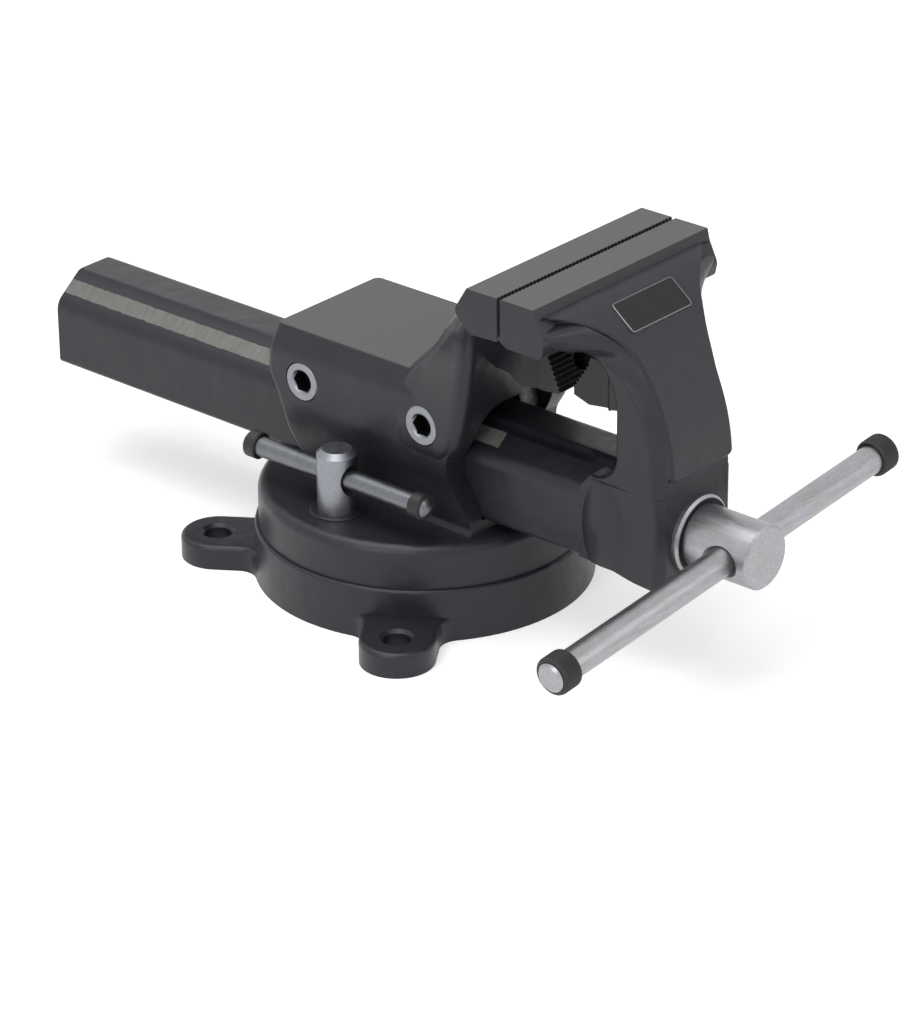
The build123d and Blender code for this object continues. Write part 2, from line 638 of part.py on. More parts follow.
def fixed_pipe_jaw():
    teeth = toothed((-94.5, 143.9), (-102.1, 127.5), 7)
    outline = make_face(Polyline(
        (FIXED_SEAT_Y, 149.5), (-93.5, 149.5), *teeth, (-101.0, 126.6), (-92.0, 125.6),
        (-88.0, 125.8), (-81.8, 126.9), (FIXED_SEAT_Y, 129.2), close=True))
    return pipe_jaw(outline, FIXED_SEAT_Y, -1, FIXED_PIPE_HEAD_Y, FIXED_PIPE_SCREW_Z)


def moving_pipe_jaw():
    """Its back is bedded on the curved face of the throat."""
    teeth = toothed((-109.7, 133.9), (-118.3, 147.0), 6)
    behind = MOVING_SEAT_Y - 2
    outline = make_face(Polyline(
        (behind, 131.4), (MOVING_SEAT_Y, 131.2), (-135.8, 130.4), (-132.2, 128.4),
        (-118.5, 126.4), (-109.7, 129.1), *teeth, (-119.5, 150.0), (-129.0, 149.4),
        (behind, 149.4), close=True))
    return pipe_jaw(outline & throat(), MOVING_SEAT_Y, 1, MOVING_PIPE_HEAD_Y,
                    MOVING_PIPE_SCREW_Z)


def pipe_jaw_screw(head_y, tip_y, z):
    step = 1 if tip_y > head_y else -1
    neck_y = head_y + PIPE_SCREW_HEAD * step
    screw = rod((0, neck_y, z), (0, tip_y, z), PIPE_SCREW_R)
    screw += rod((0, head_y, z), (0, neck_y, z), PIPE_HEAD_R)
    mouth = Plane((0, head_y - step, z), x_dir=(1, 0, 0), z_dir=(0, step, 0))
    return screw - extrude(mouth * hexagon(4), 4)


keep("fixed_pipe_jaw", fixed_pipe_jaw())
keep("moving_pipe_jaw", moving_pipe_jaw())
keep("fixed_pipe_jaw_screw", pipe_jaw_screw(FIXED_PIPE_HEAD_Y, -62.0, FIXED_PIPE_SCREW_Z))
keep("moving_pipe_jaw_screw", pipe_jaw_screw(MOVING_PIPE_HEAD_Y, -152.0, MOVING_PIPE_SCREW_Z))


# ---------------------------------------------------------------- main screw
COLLAR_R = 19.3
COLLAR_T = 3.6
HEAD_REAR_Y = HUB_FRONT_Y - COLLAR_T
SPINDLE_END_Y = 142.0
RETAINER_T = 10.0
RETAINER_SCREW_R = 3.0


def thrust_washer():
    ring = tube((0, HUB_FRONT_Y, SCREW_Z), (0, HEAD_REAR_Y, SCREW_Z), COLLAR_R, SCREW_R + RUN_FIT)
    rim = ring.edges().filter_by(GeomType.CIRCLE).filter_by(
        lambda e: e.radius > COLLAR_R - 0.1 and e.arc_center.Y < HUB_FRONT_Y - 1)
    return chamfer(rim, 1.4)


def spindle():
    screw = rod((0, HEAD_REAR_Y, SCREW_Z), (0, SPINDLE_END_Y, SCREW_Z), SCREW_R)
    tip = screw.edges().filter_by(GeomType.CIRCLE).sort_by(Axis.Y)[-1]
    screw = chamfer(tip, 2)
    head = rod((0, HEAD_REAR_Y, SCREW_Z), (0, HEAD_FRONT_Y, SCREW_Z), HEAD_R)
    head = chamfer(head.edges().filter_by(GeomType.CIRCLE).sort_by(Axis.Y)[0], 1.0)
    screw += head
    tilt = radians(BAR_TILT)
    along = Vector(cos(tilt), 0, sin(tilt))
    centre = Vector(0, BAR_Y, SCREW_Z)
    hole_r, reach, flare_from, flare = BAR_R + 0.1, along * 30, 12.9, 4.0
    screw -= rod(tuple(centre - reach), tuple(centre + reach), hole_r)
    for side in (-1, 1):
        mouth = Plane(centre + along * (side * flare_from), z_dir=along * side)
        screw -= mouth * Cone(hole_r, hole_r + flare, flare,
                              align=(Align.CENTER, Align.CENTER, Align.MIN))
    return screw


def retainer():
    """Collar behind the hub that draws the jaw back when the screw is undone."""
    y0 = HUB_REAR_Y + 0.1
    ring = tube((0, y0, SCREW_Z), (0, y0 + RETAINER_T, SCREW_Z), CHANNEL_R - 0.8, SCREW_R)
    middle = y0 + RETAINER_T / 2
    return ring - rod((0, middle, SCREW_Z), (0, middle, SCREW_Z - 20), RETAINER_SCREW_R)


def retainer_screw():
    middle = HUB_REAR_Y + 0.1 + RETAINER_T / 2
    top, bottom = SCREW_Z - SCREW_R, SCREW_Z - CHANNEL_R + 0.9
    screw = rod((0, middle, bottom), (0, middle, top), RETAINER_SCREW_R)
    return screw - extrude(Pos(0, middle, bottom - 1) * hexagon(3), 2.2)


keep("thrust_washer", thrust_washer())
keep("spindle", spindle())
keep("spindle_retainer", retainer())
keep("retainer_screw", retainer_screw())


# ---------------------------------------------------------------- handle bar
def on_bar(shape):
    """Move a shape drawn along +X to the tilted bar's line."""
    return Pos(0, BAR_Y, SCREW_Z) * Rot(0, -BAR_TILT, 0) * Pos(BAR_OFFSET, 0, 0) * shape


def handle_bar():
    half = BAR_LENGTH / 2
    bar = rod((-half, 0, 0), (half, 0, 0), BAR_R)
    return on_bar(chamfer(bar.edges().filter_by(GeomType.CIRCLE), 1.2))


def bar_ring(side):
    outer = side * (BAR_LENGTH / 2 - 1.6)
    ring = tube((outer - side * BAR_RING_L, 0, 0), (outer, 0, 0), BAR_RING_R, BAR_R)
    rims = ring.edges().filter_by(GeomType.CIRCLE).filter_by(lambda e: e.radius > BAR_R + 0.5)
    return on_bar(chamfer(rims, 1.2))


keep("handle_bar", handle_bar())
keep("bar_ring_left", bar_ring(-1))
keep("bar_ring_right", bar_ring(1))


# ---------------------------------------------------------------- write the pieces
for name, shape in nodes.items():
    export_step(shape, f"{OUT}/{name}.step")
    box = shape.bounding_box()
    print(f"{name:26s} solids {len(shape.solids())}  volume {shape.volume / 1000:8.2f} cm3"
          f"  z {box.min.Z:.1f}..{box.max.Z:.1f}")
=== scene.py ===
import json
from math import pi

import bpy
import numpy as np
from mathutils import Matrix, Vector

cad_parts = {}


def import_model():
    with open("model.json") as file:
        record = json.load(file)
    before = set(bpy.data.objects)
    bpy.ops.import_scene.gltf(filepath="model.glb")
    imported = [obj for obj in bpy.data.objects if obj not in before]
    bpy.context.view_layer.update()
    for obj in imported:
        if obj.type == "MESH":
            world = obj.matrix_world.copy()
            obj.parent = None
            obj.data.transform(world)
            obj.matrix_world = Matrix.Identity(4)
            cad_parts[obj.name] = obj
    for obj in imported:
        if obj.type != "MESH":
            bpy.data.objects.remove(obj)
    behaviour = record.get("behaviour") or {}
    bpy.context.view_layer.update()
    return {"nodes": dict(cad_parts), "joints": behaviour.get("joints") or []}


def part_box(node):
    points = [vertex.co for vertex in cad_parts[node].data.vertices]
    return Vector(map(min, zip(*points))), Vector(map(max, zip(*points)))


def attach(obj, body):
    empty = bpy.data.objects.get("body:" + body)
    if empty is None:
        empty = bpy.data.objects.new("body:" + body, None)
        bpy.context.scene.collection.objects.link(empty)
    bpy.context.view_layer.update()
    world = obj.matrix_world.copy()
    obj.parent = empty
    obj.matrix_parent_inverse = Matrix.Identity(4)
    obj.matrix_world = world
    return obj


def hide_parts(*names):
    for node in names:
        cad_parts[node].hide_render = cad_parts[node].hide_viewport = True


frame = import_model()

MM = 0.001


# ---------------------------------------------------------------- shader arithmetic
class Value:
    """A shader socket that can stand in a Python expression."""

    def __init__(self, graph, socket):
        self.graph, self.socket = graph, socket

    def __add__(self, other):
        return self.graph.math("ADD", self, other)

    def __sub__(self, other):
        return self.graph.math("SUBTRACT", self, other)

    def __rsub__(self, other):
        return self.graph.math("SUBTRACT", other, self)

    def __mul__(self, other):
        return self.graph.math("MULTIPLY", self, other)

    def __truediv__(self, other):
        return self.graph.math("DIVIDE", self, other)

    def __rtruediv__(self, other):
        return self.graph.math("DIVIDE", other, self)

    def __pow__(self, other):
        return self.graph.math("POWER", self, other)

    def __abs__(self):
        return self.graph.math("ABSOLUTE", self)

    __radd__, __rmul__ = __add__, __mul__

    def clamped(self):
        return self.graph.math("ADD", self, 0.0, clamp=True)

    def above(self, edge, soft):
        """0 below the edge, 1 above it, with a straight ramp of the given width."""
        return ((self - (edge - soft / 2)) / soft).clamped()

    def below(self, edge, soft):
        return 1 - self.above(edge, soft)

    def within(self, low, high, soft):
        return self.above(low, soft) * self.below(high, soft)


class Graph:
    """The node tree of one material or world. Arithmetic comes from math, other nodes from add."""

    def __init__(self, name, kind="Material"):
        self.kind = kind
        self.owner = {"Material": bpy.data.materials, "World": bpy.data.worlds}[kind].new(name)
        self.owner.use_nodes = True
        self.tree = self.owner.node_tree
        self.tree.nodes.clear()
        self.place, normal = self.add("ShaderNodeTexCoord", output=("Object", "Normal"))
        self.x, self.y, self.z = (part * (1 / MM) for part in self.parts(self.place))
        self.nx, self.ny, self.nz = self.parts(normal)

    def parts(self, vector):
        return self.add("ShaderNodeSeparateXYZ", inputs={0: vector}, output=(0, 1, 2))

    def feed(self, socket, value):
        if isinstance(value, Value):
            self.tree.links.new(value.socket, socket)
        else:
            socket.default_value = value

    def add(self, kind, settings=None, inputs=None, output=0):
        """A node: its type, its settings, then the values or links of its sockets by name or
        number. It gives the wanted output, or a list where several are named."""
        node = self.tree.nodes.new(kind)
        for key, value in (settings or {}).items():
            setattr(node, key, value)
        for key, value in (inputs or {}).items():
            self.feed(node.inputs[key], value)
        if isinstance(output, tuple):
            return [Value(self, node.outputs[key]) for key in output]
        return Value(self, node.outputs[output])

    def math(self, operation, *values, clamp=False):
        settings = {"operation": operation, "use_clamp": clamp}
        return self.add("ShaderNodeMath", settings, dict(enumerate(values)))

    def show(self, shader):
        """Ends the tree with the shader and returns the material or world."""
        self.add(f"ShaderNodeOutput{self.kind}", inputs={"Surface": shader}, output=())
        return self.owner

    def noise(self, size, detail=3.0, roughness=0.5, stretch=(1, 1, 1)):
        """Noise whose features are about `size` millimetres, drawn out by `stretch`."""
        scale = tuple(1 / (size * MM * s) for s in stretch)
        place = self.add("ShaderNodeMapping", inputs={"Vector": self.place, "Scale": scale})
        return self.add("ShaderNodeTexNoise", inputs={"Vector": place, "Scale": 1.0,
                                                      "Detail": detail, "Roughness": roughness})

    def mix(self, factor, a, b):
        """Colour a where the factor is 0, colour b where it is 1."""
        return self.add("ShaderNodeMix", {"data_type": "RGBA"}, {0: factor, 6: a, 7: b}, output=2)

    def shade(self, value, colour):
        """A colour made darker or lighter by a value around 1."""
        grey = self.add("ShaderNodeCombineXYZ", inputs={"X": value, "Y": value, "Z": value})
        colour = colour if isinstance(colour, Value) else colour[:3]
        return self.add("ShaderNodeVectorMath", {"operation": "MULTIPLY"}, {0: grey, 1: colour})

    def surface(self, colour, roughness, metallic, height, specular=0.5):
        """The principled surface; height is in millimetres and goes through one Bump node."""
        bump = self.add("ShaderNodeBump", inputs={"Height": height * MM, "Distance": 1.0,
                                                  "Strength": 1.0})
        return self.show(self.add("ShaderNodeBsdfPrincipled", inputs={
            "Base Color": colour, "Roughness": roughness, "Metallic": metallic,
            "Specular IOR Level": specular, "Normal": bump}))


def srgb(red, green, blue):
    """A colour as read off a picture, 0 to 255, made linear."""
    c = np.array([red, green, blue]) / 255
    linear = np.where(c <= 0.04045, c / 12.92, ((c + 0.055) / 1.055) ** 2.4)
    return (*(float(v) for v in linear), 1.0)


# ---------------------------------------------------------------- finishes, with painted shade and dark reflections
PAINT = srgb(37, 37, 44)
GROUND = srgb(89, 89, 88)
STRIP = srgb(116, 116, 113)
STEEL = srgb(161, 162, 167)
WARM_STEEL = srgb(154, 152, 144)
ZINC = srgb(146, 148, 154)
# the same zinc, coloured darker for the clamp bar
DARKER_ZINC = srgb(120, 122, 127)
BLACK = srgb(24, 24, 25)
JAW_FACE = srgb(88, 88, 90)
# painted shade inside the guide screws' hexagon sockets
SOCKET_SHADE = srgb(34, 34, 33)
PLATE_FACE, PLATE_RIM = srgb(24, 24, 26), srgb(128, 128, 130)
INNER_STEEL = srgb(150, 150, 148)
# blackened steel, and the painted dark reflection and shade on the washer's face inside its lip
BLACKENED_AND_DARK_REFLECTION = srgb(40, 40, 42)
GREASED_STEEL = srgb(58, 57, 55)


def corners(node):
    """A CAD node's lowest and highest corner, in millimetres."""
    return [np.array(corner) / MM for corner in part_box(node)]


def middle(node):
    return sum(corners(node)) / 2


# places on the solids, in millimetres, from the frame where it has them
JAW_TOP = corners("moving_jaw")[1][2]
JAW_FACE_DEPTH = 22.5
FIXED_FACE_Y = corners("fixed_jaw_body")[0][1]
JAW_GAP = 1.9                          # between the jaws' faces at rest
MOVING_FACE_Y = FIXED_FACE_Y - JAW_GAP
FACE_SLACK = 0.9                       # reaches from a jaw's face over its grooves
GROUND_TILT = 0.93                     # upward part of the normal on a level ground top
FIXED_GROUND = (122.6, JAW_TOP + 0.3, -105, 62.0)      # lowest z, highest z, front y, rear y
MOVING_GROUND = (JAW_TOP - 0.4, JAW_TOP + 0.3, -121.5, -90)
SLIDE_FLAT_HALF = 9.5                  # half-width of the slide's flat top
SHOULDER_LOW, SHOULDER_HIGH = 84, 99   # the slide's sloping shoulder
SHOULDER_FRONT, HOLLOW_DEPTH = -115, 0.9
STRIP_INNER, STRIP_OUTER, STRIP_FRONT = 15.3, 22.0, -66.0
STRIP_LOW, STRIP_HIGH = 85, 97
STRIP_TILT_LOW, STRIP_TILT_HIGH = 0.4, 0.97     # upward part of its normal
STRIP_BRIGHTER_Y = -30.0                   # brighter ahead of this
SCREW_Z = middle("thrust_washer")[2]
WASHER_LIP = 1.2                       # width of its bright lip
WASHER_LIP_R = corners("thrust_washer")[1][0] - WASHER_LIP
SOCKET_R = 6.3                         # round a guide screw's hexagon


def painted(name, ground=None, strip=False, bare_face=None):
    """Satin dark paint over a forging: slow waves in the surface, fine orange peel, and the
    places that were ground after painting."""
    g = Graph(name)
    height = (g.noise(24, detail=2) * 1.0 + g.noise(7, detail=3) * 0.10
              + g.noise(1.1, detail=2) * 0.020)
    colour = g.shade(0.90 + 0.20 * g.noise(8, detail=5), PAINT)
    roughness = 0.31 + 0.14 * g.noise(4, detail=3)
    metallic = 0.0
    if strip:
        # the slide's forged shoulder is slightly hollow between the ground strip and the top
        hollow = ((abs(g.x) - SLIDE_FLAT_HALF) / (STRIP_INNER - SLIDE_FLAT_HALF)).clamped()
        shoulder = g.y.above(SHOULDER_FRONT, 6) * g.z.within(SHOULDER_LOW, SHOULDER_HIGH, 1)
        height = height - g.math("SINE", hollow * pi) * shoulder * HOLLOW_DEPTH
    if ground is not None:
        low, high, front, back = ground
        scratch = g.noise(0.45, detail=4, stretch=(16, 1, 1))
        grain = g.noise(0.5, detail=2)
        spread = g.noise(6, detail=4)
        mask = (g.nz.above(GROUND_TILT, 0.05) * g.z.within(low, high, 0.2)
                * g.y.within(front, back, 0.3))
        tone = g.shade(0.76 + 0.20 * scratch + 0.12 * grain + 0.16 * spread, GROUND)
        colour = g.mix(mask, colour, tone)
        roughness = roughness * (1 - mask) + mask * (0.42 + 0.2 * scratch)
        metallic = mask * 0.3
        height = height * (1 - mask) + mask * (scratch * 0.012 + grain * 0.01)
    if strip:
        across = g.noise(0.9, detail=5, roughness=0.65, stretch=(9, 1, 9))
        edge = g.noise(5, detail=3) * 1.2 - 0.6
        bare = (abs(g.x) + edge).within(STRIP_INNER, STRIP_OUTER, 0.25)
        bare = (bare * g.z.within(STRIP_LOW, STRIP_HIGH, 0.5) * g.y.above(STRIP_FRONT, 0.4)
                * g.nz.within(STRIP_TILT_LOW, STRIP_TILT_HIGH, 0.05))
        # the bare strip is coloured brighter towards the front
        brighter_ahead = 0.45 + 0.60 * g.y.below(STRIP_BRIGHTER_Y, 40)
        colour = g.mix(bare, colour, g.shade(brighter_ahead + 1.05 * across, STRIP))
        roughness = roughness * (1 - bare) + bare * (0.34 + 0.2 * across)
        metallic = (metallic + bare * 0.45).clamped()
        height = height * (1 - bare) + bare * across * 0.03
    if bare_face is not None:
        face = (g.y.within(bare_face - FACE_SLACK, bare_face + FACE_SLACK, 0.1)
                * abs(g.ny).above(0.3, 0.1)
                * g.z.above(JAW_TOP - JAW_FACE_DEPTH, 0.3))
        colour = g.mix(face, colour, JAW_FACE)
        roughness = roughness * (1 - face) + face * 0.38
        metallic = (metallic + face * 0.7).clamped()
    return g.surface(colour, roughness, metallic, height, specular=0.4)


def turned_steel(name, colour=STEEL, axis=1, rough=0.25, washer=False):
    """Bright turned or drawn steel: fine and coarse streaks along one axis and dark specks, partly
    the steel's own grain and partly painted dark reflections, and a warm tint in places. A
    washer's face inside its bright lip is painted dark: a painted dark reflection and shade."""
    g = Graph(name)
    stretch = [1.0, 1.0, 1.0]
    stretch[axis] = 26.0
    fine = g.noise(0.35, detail=4, stretch=tuple(stretch))
    coarse = g.noise(1.6, detail=3, stretch=tuple(stretch))
    cloud = g.noise(7, detail=4)
    specks = g.noise(0.9, detail=4, roughness=0.7).above(0.62, 0.10)
    tone = g.mix((g.noise(11, detail=3) * 3 - 1.2).clamped() * 0.6, colour, WARM_STEEL)
    # the strong streak contrast and the dark specks are partly grain, partly painted dark
    # reflections
    tone = g.shade(0.50 + 0.44 * fine + 0.42 * coarse + 0.14 * cloud - 0.26 * specks, tone)
    roughness = rough + 0.16 * fine + 0.08 * cloud
    if washer:
        radius = g.math("SQRT", g.x ** 2 + (g.z - SCREW_Z) ** 2)
        # inside its bright lip the washer's face is painted dark: a painted dark reflection and
        # painted shade by the head
        painted_dark_inside = radius.below(WASHER_LIP_R, 0.4)
        tone = g.mix(painted_dark_inside, tone, g.shade(0.8 + 0.4 * cloud, BLACKENED_AND_DARK_REFLECTION))
        roughness = roughness * (1 - painted_dark_inside) + painted_dark_inside * 0.5
    height = fine * 0.010 + coarse * 0.012 + g.noise(3, detail=2) * 0.012
    return g.surface(tone, roughness, 1.0, height)


def zinc_plated(name, colour=ZINC, socket=None, axis=None):
    """Zinc plated steel: a little cloudy, mottled by small dark spots. A socket is given as its
    screw face's distance out, its y and its z, and is painted dark inside as painted shade."""
    g = Graph(name)
    cloud = g.noise(4, detail=4)
    spots = g.noise(0.7, detail=4, roughness=0.65)
    stretch = [1.0, 1.0, 1.0]
    if axis is not None:
        stretch[axis] = 22.0
    streak = g.noise(0.6, detail=4, stretch=tuple(stretch))
    specks = g.noise(0.5, detail=3, roughness=0.7).above(0.60, 0.12)
    tone = g.shade(0.54 + 0.30 * cloud + 0.30 * spots + 0.20 * streak - 0.22 * specks, colour)
    roughness = 0.22 + 0.16 * cloud + 0.12 * spots
    if socket is not None:
        face_x, y, z = socket
        radius = g.math("SQRT", (g.y - y) ** 2 + (g.z - z) ** 2)
        # the hexagon socket is painted dark inside: painted shade in the recess
        painted_dark_inside = radius.below(SOCKET_R, 0.3) * abs(g.x).below(face_x - 1.0, 0.8)
        tone = g.mix(painted_dark_inside, tone, SOCKET_SHADE)
        roughness = roughness * (1 - painted_dark_inside) + painted_dark_inside * 0.7
    return g.surface(tone, roughness, 1.0, cloud * 0.04 + spots * 0.02)


def blackened(name, colour=BLACKENED_AND_DARK_REFLECTION, rough=0.40):
    """Blackened steel with slight clouding and upright streaks."""
    g = Graph(name)
    cloud = g.noise(5, detail=4)
    streak = g.noise(1.2, detail=3, stretch=(1, 1, 8))
    tone = g.shade(0.70 + 0.36 * cloud + 0.24 * streak, colour)
    return g.surface(tone, rough + 0.14 * cloud, 0.25, g.noise(0.9, detail=3) * 0.03)


def ring_black(name):
    """Black of the knurled rings."""
    g = Graph(name)
    cloud = g.noise(3, detail=3)
    return g.surface(g.shade(0.8 + 0.4 * cloud, BLACK), 0.38 + 0.15 * cloud, 0.0,
                     g.noise(0.5, detail=2) * 0.01)


def plate_black(name):
    """Bare name plate: dark face, bright raised rim."""
    g = Graph(name)
    rim = g.add("ShaderNodeAttribute", {"attribute_name": "rim"}, output=2)
    fine = g.noise(0.6, detail=3)
    colour = g.mix(rim, PLATE_FACE, PLATE_RIM)
    return g.surface(colour, 0.38 + 0.1 * fine, rim * 0.8, fine * 0.004, specular=0.3)


# ---------------------------------------------------------------- surfaces on a grid
def grid_faces(rows, columns, wrap_rows=False, wrap_columns=False):
    """Quads between the points of a grid that is numbered row by row."""
    i = np.arange(rows if wrap_rows else rows - 1)
    j = np.arange(columns if wrap_columns else columns - 1)
    a, b = np.meshgrid(i, j, indexing="ij")
    c, d = (a + 1) % rows, (b + 1) % columns
    quads = [a * columns + b, a * columns + d, c * columns + d, c * columns + b]
    return np.stack(quads, -1).reshape(-1, 4)


def make_piece(name, points, faces, body, material, smooth=True, stands_for=()):
    """Points in millimetres and faces become one piece that rides on a body."""
    mesh = bpy.data.meshes.new(name)
    mesh.from_pydata((np.asarray(points, float) * MM).tolist(), [], [list(f) for f in faces])
    mesh.polygons.foreach_set("use_smooth", np.full(len(mesh.polygons), smooth))
    mesh.update()
    piece = bpy.data.objects.new(name, mesh)
    bpy.context.scene.collection.objects.link(piece)
    mesh.materials.append(material)
    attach(piece, body)
    if stands_for:
        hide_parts(*stands_for)
    return piece


def unit(direction):
    direction = np.array(direction, float)
    return direction / np.linalg.norm(direction)


def placed(points, origin, along, across):
    """Points given as (a, b, c): a along the first direction, b across it, c square to both."""
    u, across = unit(along), np.array(across, float)
    v = unit(across - u * (u @ across))
    return np.array(origin, float) + np.asarray(points, float) @ np.array([u, v, np.cross(u, v)])


BAR_ALONG = unit(next(joint["axis"] for joint in frame["joints"]
                      if joint["name"] == "handle_slide"))
BAR_R, RING_L = 7.0, 11.0              # the handle bar's radius, its rings' length
RIM_STEPS, RIDGE_STEPS = 7, 6          # points over a ring's rim and round one ridge


def knurled_ring(length, inner, outer, rim, ridges, depth):
    """Ring with a straight knurl. Its section is a closed loop: the bore, a rounded rim of
    radius `rim`, the outside and the other rim. Round the ring the outer radius falls by
    depth * (0.5 - 0.5 cos(ridges * angle)), faded out over the rims."""
    arc = np.linspace(0, pi / 2, RIM_STEPS)
    low = np.stack([rim - rim * np.sin(arc[::-1]), outer - rim + rim * np.cos(arc[::-1])], -1)
    high = np.stack([length - low[::-1, 0], low[::-1, 1]], -1)
    section = np.concatenate([[[0, inner]], low, high, [[length, inner]]])
    rise = np.linspace(0, 1, RIM_STEPS)
    fade = np.concatenate([[0], rise, rise[::-1], [0]])
    angle = np.linspace(0, 2 * pi, ridges * RIDGE_STEPS, endpoint=False)
    wave = 0.5 - 0.5 * np.cos(ridges * angle)
    radius = section[:, 1][:, None] - depth * fade[:, None] * wave[None, :]
    a = np.repeat(section[:, 0][:, None], len(angle), 1)
    points = np.stack([a, radius * np.cos(angle), radius * np.sin(angle)], -1).reshape(-1, 3)
    return points, grid_faces(len(section), len(angle), wrap_rows=True, wrap_columns=True)


def rounded_rectangle(half_width, half_height, corner, count):
    """Points round a rectangle with quarter-circle corners, evenly spread per corner."""
    arcs = []
    for k, (sx, sy) in enumerate([(1, 1), (-1, 1), (-1, -1), (1, -1)]):
        t = np.linspace(0, pi / 2, count) + k * pi / 2
        arcs.append(np.stack([sx * (half_width - corner) + corner * np.cos(t),
                              sy * (half_height - corner) + corner * np.sin(t)], -1))
    return np.concatenate(arcs)


PLATE_CENTRE = (0.5, 174.4)            # x and z
# front line of the moving jaw's panel, in y and z
PANEL_LINE = np.array([(-121.5, 183.0), (-126.5, 181.6), (-131.3, 179.2), (-138.5, 174.0),
                       (-145.6, 167.5), (-152.8, 156.5), (-160.2, 140.5)])


def smooth_line(points, count):
    """Catmull-Rom curve through the points: between p1 and p2 it is the cubic whose end
    tangents are (p2 - p0) / 2 and (p3 - p1) / 2."""
    p = np.concatenate([[2 * points[0] - points[1]], points, [2 * points[-1] - points[-2]]])
    t = np.linspace(0, len(points) - 1, count)
    k = np.minimum(t.astype(int), len(points) - 2)
    u = (t - k)[:, None]
    p0, p1, p2, p3 = (p[k + n] for n in range(4))
    m1, m2 = (p2 - p0) / 2, (p3 - p1) / 2
    return ((2 * u ** 3 - 3 * u ** 2 + 1) * p1 + (u ** 3 - 2 * u ** 2 + u) * m1
            + (3 * u ** 2 - 2 * u ** 3) * p2 + (u ** 3 - u ** 2) * m2)


def name_plate(half_width, half_height, corner, centre, proud, rim_width):
    """Plate bent to the panel. Rings of a rounded rectangle run from the foot over the edge and
    the rim to the sunken face. Each has an inset, a height and 1 where it is bright rim, and is
    laid on the panel's front line by arc length and raised along the line's normal."""
    line = smooth_line(PANEL_LINE, count=400)
    arc = np.concatenate([[0], np.cumsum(np.linalg.norm(np.diff(line, axis=0), axis=1))])
    centre_arc = np.interp(-centre[1], -line[:, 1], arc)
    levels = [(0.0, -1.2, 0.0), (0.0, proud * 0.6, 1.0), (0.25, proud, 1.0),
              (rim_width, proud, 1.0), (rim_width + 0.2, proud * 0.7, 0.0)]
    rings, rim = [], []
    for inset, height, bright in levels:
        outline = rounded_rectangle(half_width - inset, half_height - inset,
                                    max(corner - inset, 0.3), count=7)
        s = centre_arc + outline[:, 1]
        x = centre[0] + outline[:, 0]
        y, z = (np.interp(s, arc, line[:, k]) for k in (0, 1))
        ty, tz = (np.interp(s + 1, arc, line[:, k]) - np.interp(s - 1, arc, line[:, k])
                  for k in (0, 1))
        length = np.hypot(ty, tz)
        rings.append(np.stack([x, y + height * tz / length, z - height * ty / length], -1))
        rim.append(np.full(len(outline), bright))
    around = len(rings[0])
    points = np.concatenate(rings)
    faces = [list(f) for f in grid_faces(len(rings), around, wrap_columns=True)]
    faces.append([(len(rings) - 1) * around + k for k in range(around)])
    faces.append(list(range(around))[::-1])
    return points, faces, np.concatenate(rim)


# ---------------------------------------------------------------- dress the frame
nodes = frame["nodes"]


def dress(node, material):
    slots = nodes[node].data.materials
    slots.clear()
    slots.append(material)


dress("swivel_base", painted("base_paint"))
dress("fixed_jaw_body", painted("body_paint", ground=FIXED_GROUND, bare_face=FIXED_FACE_Y))
dress("moving_jaw", painted("jaw_paint", ground=MOVING_GROUND, strip=True,
                            bare_face=MOVING_FACE_Y))
bare_steel = turned_steel("bare_steel", colour=INNER_STEEL, rough=0.34)
greased_steel = turned_steel("greased_steel", colour=GREASED_STEEL, rough=0.45)
black_steel = blackened("black_steel")
ring_finish = ring_black("ring_black")
dress("spindle", turned_steel("spindle_steel", axis=1))
dress("thrust_washer", turned_steel("washer_steel", axis=1, washer=True))
dress("handle_bar", turned_steel("bar_steel", axis=0))
dress("clamp_screw", zinc_plated("clamp_zinc"))
dress("clamp_bar", zinc_plated("clamp_bar_zinc", colour=DARKER_ZINC, axis=1))
for place in ("front", "rear"):
    _, y, z = middle(f"guide_screw_left_{place}")
    face_x = corners(f"guide_screw_right_{place}")[1][0]
    finish = zinc_plated(f"guide_zinc_{place}", socket=(face_x, y, z))
    for side in ("left", "right"):
        dress(f"guide_screw_{side}_{place}", finish)
for node in nodes:
    if node.startswith("guide_shoe") or node in ("spindle_nut", "nut_screws", "clamp_nut"):
        dress(node, greased_steel)
    if node in ("pivot_screw", "pivot_washer", "retainer_screw", "spindle_retainer"):
        dress(node, bare_steel)
    if "pipe_jaw" in node:
        dress(node, black_steel)
    if node.startswith("clamp_bar_ring"):
        dress(node, ring_finish)

for side, place in ((-1, "left"), (1, "right")):
    low, high = corners(f"bar_ring_{place}")
    points, faces = knurled_ring(RING_L, BAR_R, outer=(high[1] - low[1]) / 2, rim=1.5, ridges=46,
                                 depth=0.6)
    inwards = -side * BAR_ALONG
    points = placed(points, (low + high) / 2 - inwards * RING_L / 2, inwards, (0, 1, 0))
    make_piece(f"bar_ring_{place}_knurl", points, faces, "handle_bar", ring_finish,
               stands_for=(f"bar_ring_{place}",))

points, faces, rim = name_plate(half_width=21.5, half_height=8.3, corner=2.0,
                                centre=PLATE_CENTRE, proud=0.8, rim_width=0.45)
plate = make_piece("name_plate", points, faces, "moving_jaw", plate_black("plate_black"),
                   smooth=False)
rim_mark = plate.data.attributes.new("rim", "FLOAT", "POINT")
rim_mark.data.foreach_set("value", rim.astype(np.float32))


# ---------------------------------------------------------------- floor, light, camera
FLOOR_GREY, FLOOR_LIFT, FAR_LIFT = 0.86, 0.50, 0.80
NEAR_FLOOR, FAR_FLOOR = 500.0, 2500.0  # mm from the swivel axis
FLOOR_R = 6.0                          # m


def seen_ray(graph):
    """1 for a ray that brings the background to the camera, straight, mirrored or through
    glass."""
    camera, glossy, through = graph.add("ShaderNodeLightPath", output=(
        "Is Camera Ray", "Is Glossy Ray", "Is Transmission Ray"))
    return (camera + glossy + through).clamped()


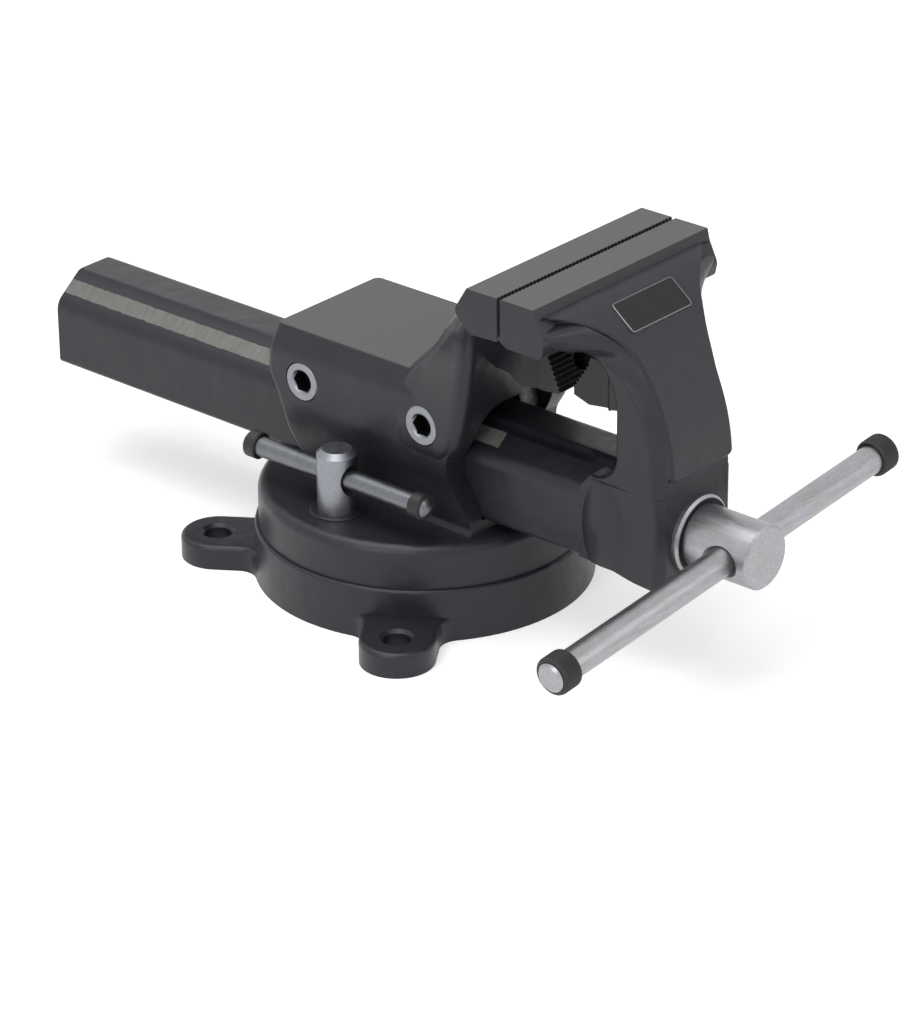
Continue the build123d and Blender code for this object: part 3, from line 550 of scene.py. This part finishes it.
def floor():
    """Round pale floor whose colour lifts to white where the camera sees it, straight or in
    metal; its diffuse part keeps the object's shadow."""
    g = Graph("floor")
    grey = (FLOOR_GREY, FLOOR_GREY, FLOOR_GREY, 1)
    diffuse = g.add("ShaderNodeBsdfDiffuse", inputs={"Color": grey})
    radius = g.math("SQRT", g.x ** 2 + g.y ** 2)
    far = ((radius - NEAR_FLOOR) / (FAR_FLOOR - NEAR_FLOOR)).clamped()
    lift = FLOOR_LIFT + (FAR_LIFT - FLOOR_LIFT) * far
    glow = g.add("ShaderNodeEmission", inputs={"Strength": seen_ray(g) * lift})
    material = g.show(g.add("ShaderNodeAddShader", inputs={0: diffuse, 1: glow}))
    angle = np.linspace(0, 2 * pi, 96, endpoint=False)
    rim = FLOOR_R * np.stack([np.cos(angle), np.sin(angle), 0 * angle], -1)
    mesh = bpy.data.meshes.new("floor")
    mesh.from_pydata(rim.tolist(), [], [list(range(len(angle)))])
    mesh.materials.append(material)
    disc = bpy.data.objects.new("floor", mesh)
    bpy.context.scene.collection.objects.link(disc)


def stood(right, up, back, place):
    """The matrix that stands a lamp or camera at a place, its axes along three directions."""
    return Matrix(np.vstack([np.column_stack([right, up, back, place]), [0, 0, 0, 1]]).tolist())


def softbox(name, place, target, width, height, power):
    """Square-cornered area lamp that faces its target."""
    light = bpy.data.lights.new(name, "AREA")
    light.shape, light.size, light.size_y, light.energy = "RECTANGLE", width, height, power
    lamp = bpy.data.objects.new(name, light)
    bpy.context.scene.collection.objects.link(lamp)
    back = unit(np.subtract(place, target))
    right = unit(np.cross((0, 0, 1), back))
    lamp.matrix_world = stood(right, np.cross(back, right), back, place)


def world(strength):
    """Even white surroundings: soft light on the object, plain white where they are seen."""
    g = Graph("studio", "World")
    white = (1, 1, 1, 1)
    soft = g.add("ShaderNodeBackground", inputs={"Color": white, "Strength": strength})
    plain = g.add("ShaderNodeBackground", inputs={"Color": white, "Strength": 1.0})
    both = g.add("ShaderNodeMixShader", inputs={0: seen_ray(g), 1: soft, 2: plain})
    bpy.context.scene.world = g.show(both)


floor()
world(strength=0.30)
# places and sizes in metres, power in watts
softbox("top", place=(-0.3, 0.1, 1.6), target=(0, -0.05, 0.08), width=1.6, height=1.2, power=16)
softbox("left", place=(-1.5, -0.3, 0.9), target=(0, 0, 0.08), width=0.8, height=1.0, power=6)
softbox("front", place=(0.5, -1.6, 0.8), target=(0, 0, 0.08), width=0.9, height=0.9, power=5)

AZIMUTH, ELEVATION, ROLL = -0.851573, 0.455055, -0.009389    # radians
CAMERA_PLACE = (-1.388696, -1.235765, 0.936844)              # m
FOCAL_PIXELS, LONG_SIDE, SENSOR = 4282.59, 1024, 36.0        # pixels, pixels, mm


def camera():
    """Camera fitted to the photo: back, right and up directions from azimuth, elevation, roll."""
    back = np.array([np.sin(AZIMUTH) * np.cos(ELEVATION), -np.cos(AZIMUTH) * np.cos(ELEVATION),
                     np.sin(ELEVATION)])
    right = np.array([np.cos(AZIMUTH), np.sin(AZIMUTH), 0])
    up = np.cross(back, right)
    r = right * np.cos(ROLL) + up * np.sin(ROLL)
    u = -right * np.sin(ROLL) + up * np.cos(ROLL)
    lens = bpy.data.cameras.new("camera")
    lens.sensor_fit, lens.sensor_width = "AUTO", SENSOR
    lens.lens = FOCAL_PIXELS / LONG_SIDE * SENSOR
    lens.clip_start, lens.clip_end = 0.05, 50
    eye = bpy.data.objects.new("camera", lens)
    bpy.context.scene.collection.objects.link(eye)
    eye.matrix_world = stood(r, u, back, CAMERA_PLACE)
    bpy.context.scene.camera = eye


camera()
bpy.context.scene.view_settings.view_transform = "Standard"
